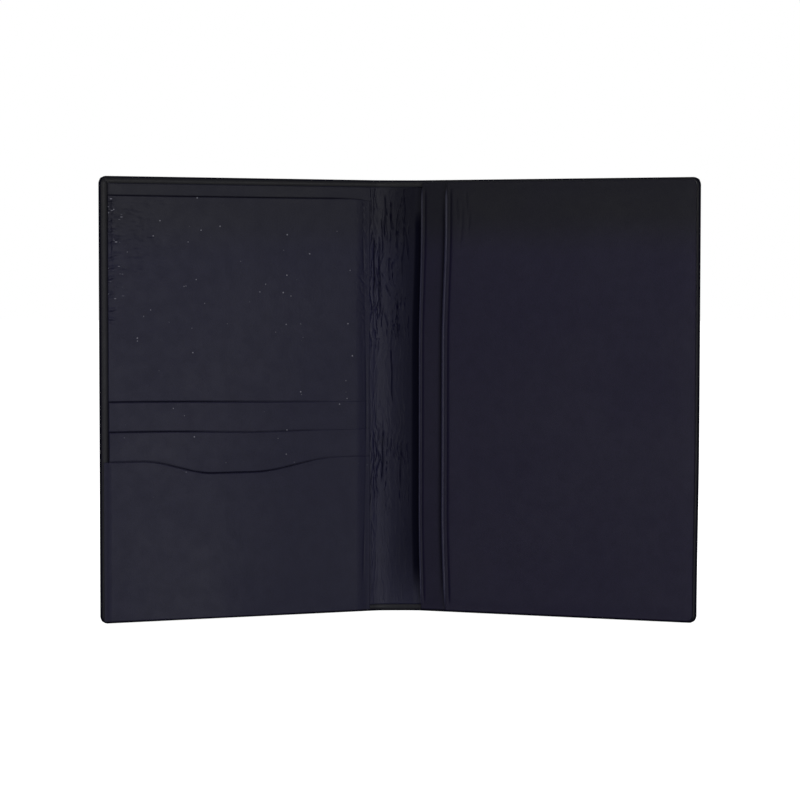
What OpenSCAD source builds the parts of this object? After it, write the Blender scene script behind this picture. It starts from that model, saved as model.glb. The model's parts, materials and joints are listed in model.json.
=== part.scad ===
// Passport holder: a bifold leather cover that opens like a book.
// It stands on its bottom edges, half open. The spine is at the back (+Y) and the opening faces -Y.
// Left cover: a long slip pocket and three stepped card slots. Right cover: two full-height sleeves.

/* [Cover] */
// Width of each cover, from its fold to its outer edge
cover_w = 93.5; // [88:0.5:100]
// Height of the holder
cover_h = 142; // [136:1:150]
// Radius of the covers' outer corners
corner_r = 2.5; // [1.5:0.5:4]
// How far each cover is folded forward from flat
open_tilt = 20; // [0:1:85]

/* [Spine] */
// Width of the spine, from fold to fold
spine_w = 15; // [13:0.5:18]
// How far the leather on both sides of a fold stays from the fold's axis
leather_relief = 0.8; // [0.7:0.1:1.2]
// How far boards, linings and pockets stay from the fold's axis
inner_relief = 1.5; // [1.4:0.1:2.5]

/* [Leather and board] */
// Thickness of the outer leather
leather_t = 0.9; // [0.8:0.1:1.1]
// Thickness of the stiffening board in each cover
board_t = 0.7; // [0.5:0.1:1]
// Thickness of the lining, and of the leather where it is turned in
lining_t = 0.5; // [0.4:0.1:0.6]
// Width of the turned-in leather that shows along the outer edge
side_hem = 2.7; // [2.2:0.1:4]
// Width of the turned-in leather along the top and bottom edges
end_hem = 2.2; // [1.8:0.1:3]

/* [Pockets and sleeves] */
// Thickness of the pocket panels
panel_t = 0.5; // [0.4:0.1:0.6]
// Thickness of the front pocket and of the two sleeves
sleeve_t = 0.6; // [0.5:0.1:0.7]
// Thickness of the hidden cloth pouches
pouch_t = 0.3; // [0.2:0.1:0.3]
// Room inside the slip pocket and the sleeves
slip_gap = 0.4; // [0.3:0.1:0.5]
// Room inside a card slot
card_gap = 0.3; // [0.2:0.1:0.4]
// Width of the glued border around the slip pocket and the sleeves
glue_w = 3; // [2:0.5:4]
// Width of the glued border around a card slot, which has to leave room for an 85.6 mm card
card_glue_w = 1; // [0.8:0.1:1.2]
// How far the sleeves and the pocket bottoms stay inside the edge
panel_inset = 0.8; // [0.5:0.1:1.5]

/* [Left cover] */
// Distance of the pockets' inner edge from the fold
pocket_start = 2.8; // [1.5:0.1:3]
// How far the slip pocket's mouth lies below the top edge
slip_drop = 6.2; // [4:0.1:10]
// Radius of the slip pocket's corner beside the fold
slip_corner_r = 4.5; // [2:0.5:8]
// Height of the front card slot's mouth
front_mouth_z = 51.4; // [46:0.1:56]
// Height from one card slot's mouth to the next
slot_pitch = 9.4; // [8:0.1:11]
// Depth of a card slot
card_depth = 54; // [50:0.5:55]
// Height of the leather facing at a card slot's mouth
facing_h = 14.2; // [12:0.1:16]
// How far the front pocket's outer edge stays inside the cover's
front_inset = 1; // [0.8:0.1:1.5]
// Width of the thumb notch in the front slot
notch_w = 64; // [40:1:66]
// Depth of the thumb notch
notch_d = 4.3; // [3:0.1:6]
// Radius of the rounded shoulders of the notch
notch_shoulder_r = 8; // [4:1:12]
// Distance of the notch's middle from the fold
notch_u = 48; // [40:0.5:55]

/* [Right cover] */
// How far the passport sleeve's edge is set back from the document sleeve's
sleeve_step = 8.4; // [6:0.1:12]

/* [Hidden] */
$fn = 64;

navy = [0.16, 0.16, 0.21];
navy_lining = [0.14, 0.14, 0.19];
navy_sleeve = [0.13, 0.12, 0.18];
grey_board = [0.55, 0.52, 0.46];
black_cloth = [0.08, 0.08, 0.10];

// Depths inwards from the plane of the fold axes, which is the middle of the outer leather
leather_back = -leather_t / 2;
leather_front = leather_t / 2;
board_front = leather_front + board_t;
lining_front = board_front + lining_t;
slip_front = lining_front + slip_gap + panel_t;
back_card_front = slip_front + card_gap + panel_t;
middle_card_front = back_card_front + card_gap + panel_t;
front_card_front = middle_card_front + card_gap + sleeve_t;
document_front = lining_front + slip_gap + sleeve_t;
passport_front = document_front + slip_gap + sleeve_t;

// Distances from the fold: where pockets end at the outer edge
pocket_end = cover_w - side_hem;
front_end = cover_w - front_inset;
sleeve_end = cover_w - panel_inset;

// Heights of the card slots
back_mouth_z = front_mouth_z + 2 * slot_pitch;
middle_mouth_z = front_mouth_z + slot_pitch;

// The notch: one wide arc, joined to the straight mouth by two rounded shoulders
arc_sum = (notch_w * notch_w / 4 + notch_d * notch_d) / (2 * notch_d);
notch_r = arc_sum - notch_shoulder_r;
arc_half = notch_w / 2 * notch_r / arc_sum;
notch_steps = 48;

// The frame's origin: the middle of the bounding box, at the bottom
front_y = -(front_end * sin(open_tilt) + front_card_front * cos(open_tilt));
fold_y = -(front_y + leather_front) / 2;
cut = 1;

// How far the notched mouth lies below the straight one, at x from the notch's middle
function notch_drop(x) =
    let (a = abs(x))
    a >= notch_w / 2 ? 0
    : a > arc_half ? notch_shoulder_r - sqrt(pow(notch_shoulder_r, 2) - pow(notch_w / 2 - a, 2))
    : notch_d - notch_r + sqrt(notch_r * notch_r - a * a);

// Extrudes an outline in (distance from the fold, height) between two depths
module between(d)
    translate([0, -d[0], 0]) rotate([90, 0, 0]) linear_extrude(d[1] - d[0]) children();

// A plain sheet: ranges of distance from the fold, height and depth
module sheet(u, z, d)
    translate([u[0], -d[1], z[0]]) cube([u[1] - u[0], d[1] - d[0], z[1] - z[0]]);

// A sheet whose two outer corners are round
module round_sheet(u, z, d, r) between(d) {
    translate([u[0], z[0]]) square([u[1] - u[0] - r, z[1] - z[0]]);
    translate([u[1] - 2 * r, z[0] + r]) square([2 * r, z[1] - z[0] - 2 * r]);
    for (corner_z = [z[0] + r, z[1] - r]) translate([u[1] - r, corner_z]) circle(r);
}

// Places what was drawn flat on a cover: side is 1 for right, -1 for left
module on_cover(side)
    translate([0, fold_y, 0]) mirror([side < 0 ? 1 : 0, 0, 0])
        translate([spine_w / 2, 0, 0]) rotate([0, 0, -open_tilt]) children();

module cover_leather(side) color(navy) on_cover(side) difference() {
    union() {
        round_sheet([leather_relief, cover_w], [0, cover_h], [leather_back, leather_front], corner_r);
        round_sheet([inner_relief, cover_w], [0, cover_h], [leather_front, lining_front], corner_r);
    }
    round_sheet([inner_relief - cut, cover_w - leather_t], [leather_t, cover_h - leather_t],
                [leather_front, board_front], corner_r - leather_t);
    sheet([inner_relief - cut, pocket_end], [end_hem, cover_h - end_hem],
          [board_front, lining_front + cut]);
}

module cover_board(side) color(grey_board) on_cover(side)
    round_sheet([inner_relief, cover_w - leather_t], [leather_t, cover_h - leather_t],
                [leather_front, board_front], corner_r - leather_t);

module cover_lining(side) color(navy_lining) on_cover(side)
    sheet([inner_relief, pocket_end], [end_hem, cover_h - end_hem], [board_front, lining_front]);

module spine_leather() color(navy) translate([0, fold_y, 0]) {
    half = spine_w / 2 - leather_relief;
    sheet([-half, half], [0, cover_h], [leather_back, leather_front]);
    for (z = [0, cover_h - end_hem])
        sheet([-half, half], [z, z + end_hem], [leather_front, leather_front + lining_t]);
}

module spine_lining() color(navy_lining) translate([0, fold_y, 0]) {
    half = spine_w / 2 - leather_relief;
    sheet([-half, half], [end_hem, cover_h - end_hem], [leather_front, leather_front + lining_t]);
}

module slip_pocket_panel() color(navy) on_cover(-1) {
    top = cover_h - slip_drop;
    back = lining_front;
    difference() {
        between([back, slip_front]) {
            translate([pocket_start, panel_inset])
                square([pocket_end - pocket_start, top - panel_inset - slip_corner_r]);
            translate([pocket_start + slip_corner_r, top - 2 * slip_corner_r])
                square([pocket_end - pocket_start - slip_corner_r, 2 * slip_corner_r]);
            translate([pocket_start + slip_corner_r, top - slip_corner_r]) circle(slip_corner_r);
        }
        sheet([pocket_start + glue_w, pocket_end - glue_w], [panel_inset + glue_w, cover_h],
              [back - cut, back + slip_gap]);
    }
}

// The leather strip that shows at a hidden card slot's mouth, glued at both ends
module card_facing(mouth_z, back) color(navy) on_cover(-1) difference() {
    sheet([pocket_start, pocket_end], [mouth_z - facing_h, mouth_z],
          [back, back + card_gap + panel_t]);
    sheet([pocket_start + card_glue_w, pocket_end - card_glue_w], [0, cover_h],
          [back - cut, back + card_gap]);
}

// The cloth pouch below a facing, closed at both sides and at the bottom
module card_pouch(mouth_z, back) color(black_cloth) on_cover(-1) {
    bottom = mouth_z - card_depth;
    difference() {
        sheet([pocket_start, pocket_end], [bottom, mouth_z - facing_h],
              [back, back + card_gap + pouch_t]);
        sheet([pocket_start + card_glue_w, pocket_end - card_glue_w], [bottom + card_glue_w, cover_h],
              [back - cut, back + card_gap]);
    }
}

module front_card_pocket() color(navy) on_cover(-1) {
    back = middle_card_front;
    mouth = [for (i = [0 : notch_steps])
        let (x = notch_w * (0.5 - i / notch_steps))
        [notch_u + x, front_mouth_z - notch_drop(x)]];
    between([back + card_gap, front_card_front])
        polygon(concat([[pocket_start, front_mouth_z], [pocket_start, panel_inset],
                        [front_end, panel_inset], [front_end, front_mouth_z]], mouth));
    sheet([pocket_start, pocket_start + card_glue_w], [panel_inset + card_glue_w, front_mouth_z],
          [back, back + card_gap]);
    sheet([pocket_start, pocket_end], [panel_inset, panel_inset + card_glue_w],
          [slip_front, back + card_gap]);
    sheet([pocket_end, front_end], [panel_inset, front_mouth_z], [lining_front, back + card_gap]);
}

// A full-height sleeve, open only towards the spine
module sleeve(start, back, front) color(navy_sleeve) on_cover(1) difference() {
    round_sheet([start, sleeve_end], [panel_inset, cover_h - panel_inset], [back, front],
                corner_r - panel_inset);
    sheet([start - cut, sleeve_end - glue_w], [panel_inset + glue_w, cover_h - panel_inset - glue_w],
          [back - cut, back + slip_gap]);
}

spine_leather();
spine_lining();
cover_leather(-1);  // left_cover_leather
cover_board(-1);  // left_cover_board
cover_lining(-1);  // left_lining
slip_pocket_panel();
card_facing(back_mouth_z, slip_front);  // back_card_facing
card_pouch(back_mouth_z, slip_front);  // back_card_pouch
card_facing(middle_mouth_z, back_card_front);  // middle_card_facing
card_pouch(middle_mouth_z, back_card_front);  // middle_card_pouch
front_card_pocket();
cover_leather(1);  // right_cover_leather
cover_board(1);  // right_cover_board
cover_lining(1);  // right_lining
sleeve(inner_relief, lining_front, document_front);  // document_sleeve
sleeve(inner_relief + sleeve_step, document_front, passport_front);  // passport_sleeve
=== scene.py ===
# %% [markdown]
# # An open passport holder in dark blue leather
# The holder is a leather cover that opens like a book. One skin of leather runs over two card
# boards and is turned in along its edges. A thinner leather lines the inside. The left cover
# carries a slip pocket and three card slots, and the right cover carries two sleeves.
# Every piece is first laid out flat, as it would lie on the bench, in millimetres: distance from
# the middle of the spine, height, and depth towards the reader. One function then bends it over
# the fold and sets it in the frame, which is in metres.

# %% Load the frame
import json
import math

import bpy
import numpy as np
from mathutils import Matrix, Vector


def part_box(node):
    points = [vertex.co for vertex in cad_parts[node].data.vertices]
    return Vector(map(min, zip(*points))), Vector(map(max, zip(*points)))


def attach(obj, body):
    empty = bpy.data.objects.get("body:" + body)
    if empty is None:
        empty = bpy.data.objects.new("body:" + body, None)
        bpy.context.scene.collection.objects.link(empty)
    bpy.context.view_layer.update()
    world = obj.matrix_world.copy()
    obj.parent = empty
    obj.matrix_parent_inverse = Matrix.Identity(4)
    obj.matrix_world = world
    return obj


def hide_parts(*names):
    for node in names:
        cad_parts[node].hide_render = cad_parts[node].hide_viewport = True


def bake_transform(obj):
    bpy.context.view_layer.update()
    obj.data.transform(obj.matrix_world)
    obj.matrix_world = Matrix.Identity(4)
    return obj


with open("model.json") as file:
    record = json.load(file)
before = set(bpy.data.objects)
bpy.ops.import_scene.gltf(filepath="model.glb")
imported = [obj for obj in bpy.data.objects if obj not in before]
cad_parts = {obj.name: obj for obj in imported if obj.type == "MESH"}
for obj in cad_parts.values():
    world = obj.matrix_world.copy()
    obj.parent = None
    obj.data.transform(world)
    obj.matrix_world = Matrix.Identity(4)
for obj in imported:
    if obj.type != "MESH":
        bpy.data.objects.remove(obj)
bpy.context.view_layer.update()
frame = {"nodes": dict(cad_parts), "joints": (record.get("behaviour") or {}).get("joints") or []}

print("frame:", sorted(frame["nodes"]))

# %% [markdown]
# ## Sizes
# The two fold joints give the spine's width, the folds' place and how far the covers are opened:
# a cover lies flat at its joint's lower limit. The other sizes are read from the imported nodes, so
# the leather fits the design without any fitting by hand. Sizes are in millimetres from here on,
# apart from those of the materials, the lights and the camera.

# %% Read the sizes from the frame
MM = 1000.0
fold = next(j for j in frame["joints"] if j["name"] == "right_cover_fold")
SPINE_HALF = fold["pos_m"][0] * MM
FOLD_Y = fold["pos_m"][1] * MM
TILT = math.radians(-fold["range_deg"][0])


def cover_span(node):
    """Lowest and highest (distance from the spine's middle, height, depth) of a node on a cover."""
    points = np.array([v.co for v in frame["nodes"][node].data.vertices]) * MM
    out, ahead = np.abs(points[:, 0]) - SPINE_HALF, FOLD_Y - points[:, 1]
    s = SPINE_HALF + out * math.cos(TILT) + ahead * math.sin(TILT)
    depth = ahead * math.cos(TILT) - out * math.sin(TILT)
    flat = np.column_stack([s, points[:, 2], depth])
    return np.round(flat.min(0), 3), np.round(flat.max(0), 3)


cover_low, cover_high = cover_span("left_cover_leather")
lining_low, lining_high = cover_span("left_lining")
EDGE_S, TOP_Z = cover_high[0], cover_high[1]
LEATHER_BACK, COVER_FRONT = cover_low[2], cover_high[2]
SPINE_FRONT = FOLD_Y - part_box("spine_lining")[0].y * MM
HEM_S, HEM_Z = EDGE_S - lining_high[0], TOP_Z - lining_high[1]
BOARD_S = cover_span("left_cover_board")[0][0]
CORNER_R = 2.5
print(f"cover {EDGE_S - SPINE_HALF:.1f} x {TOP_Z:.1f} mm, spine {2 * SPINE_HALF:.1f} mm")
print(f"hems {HEM_S:.1f} and {HEM_Z:.1f} mm, tilt {math.degrees(TILT):.0f} degrees")

# %% [markdown]
# ## From the bench to the holder
# Leather doesn't fold to a knife edge. Over a few millimetres at each fold its direction turns
# smoothly from the spine's to the cover's. The curve is summed up from short steps and shrunk a
# touch, so that it joins both straight stretches exactly where the CAD puts them.

# %% Bend a flat piece over the fold
BEND = 2.0


def smooth(x, low, high):
    """0 below low, 1 above high and an even S between them."""
    t = np.clip((x - low) / (high - low), 0, 1)
    return t * t * (3 - 2 * t)


bend_s = np.linspace(-BEND, BEND, 161)
bend_angle = TILT * smooth(bend_s, -BEND, BEND)


def summed(values):
    """Running sum of values along the bend, from 0."""
    pieces = (values[1:] + values[:-1]) / 2 * (bend_s[1] - bend_s[0])
    return np.concatenate([[0], np.cumsum(pieces)])


bend_out, bend_ahead = summed(np.cos(bend_angle)), summed(np.sin(bend_angle))
bend_shrink = 2 * BEND * math.cos(TILT / 2) / math.hypot(bend_out[-1], bend_ahead[-1])
LEAN = {-1: 0.0, 1: 0.5}
LEAN_Z = 62.0


def from_flat(flat, side):
    """Flat points (distance from the spine's middle, height, depth) set in the frame, in metres.
    side is 1 for the right cover and -1 for the left. Below LEAN_Z the right cover's outer edge
    leans in a little."""
    s, z, depth = flat.T
    share = np.clip((s - SPINE_HALF) / (EDGE_S - SPINE_HALF), 0, 1)
    s = s - LEAN[side] * share * smooth(-z, -LEAN_Z, 0)
    past = s - SPINE_HALF
    near = np.clip(past, -BEND, BEND)
    angle = TILT * smooth(near, -BEND, BEND)
    beyond = np.maximum(past - BEND, 0)
    out = SPINE_HALF - BEND + np.minimum(past + BEND, 0) + beyond * math.cos(TILT)
    out = out + bend_shrink * np.interp(near, bend_s, bend_out) - depth * np.sin(angle)
    ahead = beyond * math.sin(TILT) + bend_shrink * np.interp(near, bend_s, bend_ahead)
    ahead = ahead + depth * np.cos(angle)
    return np.column_stack([side * out, FOLD_Y - ahead, z]) / MM


print(f"bend of {2 * BEND:.0f} mm, shrunk to {bend_shrink:.4f}")

# %% [markdown]
# ## Sheets of leather
# A pocket or a lining is a sheet with two faces that meet in a rounded edge. It is made as a front
# grid and a back grid that share their border. The grid lines stand close together beside an edge,
# where the leather turns, and far apart where it is flat.

# %% Make a closed sheet
EDGE_STEPS = (0, 0.03, 0.1, 0.2, 0.35, 0.55, 0.8, 1.05, 1.35, 1.7, 2.1, 2.5, 3.4, 4.6, 6.2)
LINE_GAP = 0.02


def lines(low, high, step, fine=(True, True), extra=()):
    """Grid lines from low to high: close together beside the fine ends, and every step between."""
    marks = [low, high, *extra]
    marks += [low + e for e in EDGE_STEPS] if fine[0] else []
    marks += [high - e for e in EDGE_STEPS] if fine[1] else []
    inner_low = low + EDGE_STEPS[-1] * fine[0]
    inner_high = high - EDGE_STEPS[-1] * fine[1]
    count = max(1, round((inner_high - inner_low) / step))
    marks = np.sort(np.concatenate([marks, np.linspace(inner_low, inner_high, count + 1)]))
    marks = marks[(marks >= low) & (marks <= high)]
    return marks[np.concatenate([[True], np.diff(marks) > LINE_GAP])]


def round_off(inset, radius):
    """How far a surface has fallen, at a distance inside an edge that is rounded to radius."""
    run = np.clip(radius - inset, 0, radius)
    return radius - np.sqrt(np.maximum(radius * radius - run * run, 0))


def groove(distance, width):
    """1 on a line and 0 past about its width, as for a pressed or scored line."""
    return np.exp(-((distance / width) ** 2))


def round_corner(a, b, radius):
    """Grid distances a and b from two edges, moved so that their corner is round, and the inset."""
    p, q = np.clip(1 - a / radius, 0, 1), np.clip(1 - b / radius, 0, 1)
    x, y = p * np.sqrt(1 - q * q / 2), q * np.sqrt(1 - p * p / 2)
    inside = (p > 0) & (q > 0)
    inset = np.where(inside, radius * (1 - np.hypot(x, y)), np.minimum(a, b))
    return np.where(inside, radius * (1 - x), a), np.where(inside, radius * (1 - y), b), inset


def new_object(name, vertices, faces, marks):
    """A flat piece as a Blender object in millimetres, with its named marks on its points."""
    mesh = bpy.data.meshes.new(name)
    mesh.from_pydata(vertices.tolist(), [], faces)
    for mark, values in marks.items():
        attribute = mesh.attributes.new(mark, "FLOAT", "POINT")
        attribute.data.foreach_set("value", values.astype(np.float32))
    mesh.shade_smooth()
    made = bpy.data.objects.new(name, mesh)
    bpy.context.scene.collection.objects.link(made)
    return made


def grid_faces(index, turned=False):
    """The four-cornered faces of a grid of point numbers, turned over if asked."""
    corners = [index[:-1, :-1], index[1:, :-1], index[1:, 1:], index[:-1, 1:]]
    faces = np.stack(corners, -1).reshape(-1, 4)
    return faces[:, ::-1] if turned else faces


def closed_sheet(name, front, back, marks, wall=False):
    """A sheet whose front and back grids share their border. With wall, the side at the spine's
    middle isn't pinched: it is closed by a plain wall, so that another half can stand against it."""
    count = front[0].size
    index = np.arange(count).reshape(front[0].shape)
    own = np.zeros(index.shape, bool)
    own[1:-1, 1:-1] = True
    own[0, 1:-1] = wall
    back_index = index.copy()
    back_index[own] = count + np.arange(own.sum())
    flat = np.column_stack([axis.ravel() for axis in front])
    flat = np.vstack([flat, np.column_stack([axis[own] for axis in back])])
    faces = [*grid_faces(index).tolist(), *grid_faces(back_index, turned=True).tolist()]
    if wall:
        for j in range(index.shape[1] - 1):
            ring = [index[0, j], index[0, j + 1], back_index[0, j + 1], back_index[0, j]]
            faces.append([int(i) for i in dict.fromkeys(ring)])
    marks = {mark: np.concatenate([v.ravel(), np.zeros(own.sum())]) for mark, v in marks.items()}
    return new_object(name, flat, faces, marks)


print("a strip of 30 mm gets", len(lines(0, 30, 2)), "grid lines")

# %% [markdown]
# A flat piece may still have live modifiers. They are turned into a plain mesh before the piece is
# bent into its place, and only edges sharper than a fold in leather are left hard.

# %% Set a flat piece in the frame
SHARP = math.radians(40)


def evaluated(piece):
    """Turns a piece's live modifiers into a plain mesh and removes them."""
    graph = bpy.context.evaluated_depsgraph_get()
    mesh = bpy.data.meshes.new_from_object(piece.evaluated_get(graph))
    piece.modifiers.clear()
    piece.data = mesh
    mesh.name = piece.name
    return piece


def set_in_frame(piece, side):
    """Moves a flat piece's points to their place on the holder."""
    mesh = piece.data
    flat = np.zeros(len(mesh.vertices) * 3)
    mesh.vertices.foreach_get("co", flat)
    mesh.vertices.foreach_set("co", from_flat(flat.reshape(-1, 3), side).ravel())
    if side < 0:
        mesh.flip_normals()
    mesh.update()
    mesh.set_sharp_from_angle(angle=SHARP)
    print(f"{piece.name}: {len(mesh.vertices)} points, {len(mesh.polygons)} faces")
    return piece


# %% [markdown]
# ## Node trees
# Materials and Geometry Nodes are both trees of nodes. A wire is one output of a node. Sums,
# products and quotients of wires are written as in Python and add Math nodes, and one method makes
# every other node from its type, its settings and what goes into its sockets.

# %% Wires and trees
class Wire:
    """One output socket of a node in a tree."""

    def __init__(self, tree, socket):
        self.tree, self.socket = tree, socket

    def maths(self, operation, a, b):
        return self.tree.node("ShaderNodeMath", {"operation": operation}, {0: a, 1: b})

    def __add__(self, other):
        return self.maths("ADD", self, other)

    def __radd__(self, other):
        return self.maths("ADD", other, self)

    def __sub__(self, other):
        return self.maths("SUBTRACT", self, other)

    def __rsub__(self, other):
        return self.maths("SUBTRACT", other, self)

    def __mul__(self, other):
        return self.maths("MULTIPLY", self, other)

    def __rmul__(self, other):
        return self.maths("MULTIPLY", other, self)

    def __truediv__(self, other):
        return self.maths("DIVIDE", self, other)

    def larger(self, other):
        return self.maths("MAXIMUM", self, other)

    def sine(self):
        return self.maths("SINE", self, 0.0)


class Tree:
    """A node tree that is built one node at a time."""

    def __init__(self, tree):
        self.tree = tree
        tree.nodes.clear()

    def node(self, kind, settings=None, sockets=None, output=0):
        made = self.tree.nodes.new(kind)
        for name, value in (settings or {}).items():
            setattr(made, name, value)
        for key, value in (sockets or {}).items():
            if isinstance(value, Wire):
                self.tree.links.new(value.socket, made.inputs[key])
            else:
                made.inputs[key].default_value = value
        return Wire(self, made.outputs[output]) if len(made.outputs) else None

    def ramp(self, value, low, high, to_low=0.0, to_high=1.0):
        """An even S from to_low at low to to_high at high."""
        sockets = {"Value": value, "From Min": low, "From Max": high}
        sockets.update({"To Min": to_low, "To Max": to_high})
        return self.node("ShaderNodeMapRange", {"interpolation_type": "SMOOTHSTEP"}, sockets)

    def mix(self, share, a, b):
        """A colour between a and b."""
        return self.node("ShaderNodeMix", {"data_type": "RGBA"}, {0: share, 6: a, 7: b}, 2)

    def shifted(self, vector, by):
        """A vector moved by a fixed amount."""
        return self.node("ShaderNodeVectorMath", {"operation": "ADD"}, {0: vector, 1: by})

    def scaled(self, vector, factors):
        """A vector with each part multiplied by its factor."""
        settings = {"operation": "MULTIPLY"}
        return self.node("ShaderNodeVectorMath", settings, {0: vector, 1: factors})


# %% [markdown]
# ## Leather
# The holder is made of smooth calf leather, dyed dark blue and pressed almost flat. Up close it has
# fine pores, and its sheen comes from a thin finish that is uneven in the hand. Small cells and a
# fine noise give the pores, and two slower noises move the colour and the roughness. Towards the
# top the colour turns to each leather's second colour, which is greyer.
# The mark "edge" is painted on the meshes where leather is cut and inked, and it also carries
# painted shade: in creases, along rounded rims, in the gutter at the fold and as shadow lines under
# edges. The surface is darker and duller there.
# The slip pocket's upper part has pale specks of dust, and short upright flecks where the mark
# "worn" says so, which are painted highlights where its crinkled leather catches the light. They
# are small cells of two Voronoi patterns, and the slower noises let only a few of them show.

# %% Make the leathers
TOP_BLEND_Z = (0.121, 0.138)
CLOUD_SCALE, PATCH_SCALE, GRIT_SCALE = 26, 260, 5200
PORE_APART = 0.00042
PORE_DEPTH = 0.000012
PORE_INK_AND_SHADE_COLOUR = (0.0017, 0.0017, 0.0095, 1)
SPECK_APART, SPECK_SHARE = 0.0036, 0.085
GLINT_APART, GLINT_SHARE = 0.0009, 0.26
SPECK_Z = (0.066, 0.090)
SPECK_AND_GLINT_COLOUR = (0.30, 0.30, 0.36, 1)


def specks_and_glints(tree, where, height, cloud, patch):
    """1 on the pale dust specks and on the flecks of painted highlight, and 0 beside them."""
    dots = tree.node("ShaderNodeTexVoronoi", sockets={"Vector": where, "Scale": 1 / SPECK_APART})
    upper = tree.ramp(height + 0.05 * cloud, SPECK_Z[0], SPECK_Z[1])
    worn = tree.node("ShaderNodeAttribute", {"attribute_name": "worn"}, output="Fac")
    rare = tree.ramp(patch + worn * 0.12, 0.47, 0.51)
    specks = tree.ramp(dots, SPECK_SHARE, SPECK_SHARE * 0.4) * upper * rare
    drawn_out = tree.scaled(where, (0.4, 0.4, 1.0))
    dashes = tree.node("ShaderNodeTexVoronoi", sockets={"Vector": drawn_out, "Scale": 1 / GLINT_APART})
    few = tree.ramp(cloud + patch, 0.94, 1.02) * tree.ramp(worn, 0.4, 0.9)
    flecks = tree.ramp(dashes, GLINT_SHARE, GLINT_SHARE * 0.4) * few
    return specks.larger(flecks)


def leather(name, blue, grey, roughness, pucker=0.0, specks=False):
    """A smooth dyed leather. blue is its colour, grey its colour towards the top, and pucker
    how much the slower noise roughens its surface."""
    material = bpy.data.materials.new(name)
    material.use_nodes = True
    tree = Tree(material.node_tree)
    where = tree.node("ShaderNodeTexCoord", output="Object")
    height = tree.node("ShaderNodeSeparateXYZ", sockets={0: where}, output="Z")
    cloud = tree.node("ShaderNodeTexNoise", sockets={"Vector": where, "Scale": CLOUD_SCALE, "Detail": 3})
    patch = tree.node("ShaderNodeTexNoise", sockets={"Vector": where, "Scale": PATCH_SCALE, "Detail": 3})
    grit = tree.node("ShaderNodeTexNoise", sockets={"Vector": where, "Scale": GRIT_SCALE, "Detail": 2})
    ink_and_shade = tree.node("ShaderNodeAttribute", {"attribute_name": "edge"}, output="Fac")
    pores = tree.node("ShaderNodeTexVoronoi", {"feature": "DISTANCE_TO_EDGE"},
                      {"Vector": where, "Scale": 1 / PORE_APART})
    grain = tree.ramp(pores, 0.0, 0.25)
    towards_top = tree.ramp(height + 0.012 * cloud, TOP_BLEND_Z[0], TOP_BLEND_Z[1])
    light_dye, deep_dye = [(*(part * share for part in blue), 1) for share in (1.5, 0.6)]
    surface_colour = tree.mix(towards_top, (*blue, 1), (*grey, 1))
    surface_colour = tree.mix(tree.ramp(cloud, 0.3, 0.7, 0.0, 0.14), surface_colour, light_dye)
    surface_colour = tree.mix(tree.ramp(patch, 0.35, 0.7, 0.0, 0.12), surface_colour, deep_dye)
    surface_colour = tree.mix((1 - grain) * 0.35, surface_colour, PORE_INK_AND_SHADE_COLOUR)
    rough = roughness + tree.ramp(cloud, 0.3, 0.7, -0.03, 0.03)
    rough = rough + tree.ramp(patch, 0.3, 0.7, -0.02, 0.02)
    relief = grain * 0.7 + grit * 0.5 + patch * pucker
    # Pale dust specks, and painted highlights on the crinkles.
    if specks:
        dust_and_glints = specks_and_glints(tree, where, height, cloud, patch)
        surface_colour = tree.mix(dust_and_glints * 0.8, surface_colour, SPECK_AND_GLINT_COLOUR)
        relief = relief + dust_and_glints * 2.5
    bump = tree.node("ShaderNodeBump", sockets={"Height": relief, "Distance": PORE_DEPTH,
                                                "Strength": 1.0})
    finish = tree.node("ShaderNodeBsdfPrincipled", sockets={
        "Base Color": surface_colour, "Roughness": rough, "Normal": bump, "Specular IOR Level": 0.42})
    # The mark "edge" mixes in this matt dark finish, for real ink and for painted shade.
    matt = tree.node("ShaderNodeBsdfPrincipled", sockets={
        "Base Color": PORE_INK_AND_SHADE_COLOUR, "Roughness": 0.85, "Specular IOR Level": 0.08})
    both = tree.node("ShaderNodeMixShader", sockets={0: ink_and_shade, 1: finish, 2: matt})
    tree.node("ShaderNodeOutputMaterial", sockets={"Surface": both})
    print("leather:", name)
    return material


outer_leather = leather("outer_leather", (0.0140, 0.0140, 0.0215), (0.0150, 0.0150, 0.0180), 0.46)
pocket_leather = leather("pocket_leather", (0.0105, 0.0098, 0.0420), (0.0110, 0.0110, 0.0270),
                         0.46, specks=True)
sleeve_leather = leather("sleeve_leather", (0.0105, 0.0068, 0.0390), (0.0060, 0.0060, 0.0135), 0.48)
# The bead's leather is lighter than the sleeves', as a painted highlight along the rolled edge.
bead_leather_painted_highlight = leather("bead_leather_painted_highlight", (0.0245, 0.0238, 0.0620), (0.0350, 0.0350, 0.0570), 0.37)
lining_leather = leather("lining_leather", (0.0078, 0.0074, 0.0450), (0.0082, 0.0082, 0.0200),
                         0.44, pucker=3.0)

# %% [markdown]
# ## Card and cloth
# The boards are grey card, with short fibres pressed into the sheet. They are hidden by the leather
# and keep their CAD shape. The pouches behind the card slots are thin black cotton: a plain weave,
# made of two sets of ribs that take turns on top. A Wave texture at the scale ONE_RIB has one rib
# to each unit of the UV map, and the map is in threads.

# %% Make the card and the cloth
THREAD = 0.00036
ONE_RIB = math.pi / 10


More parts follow.
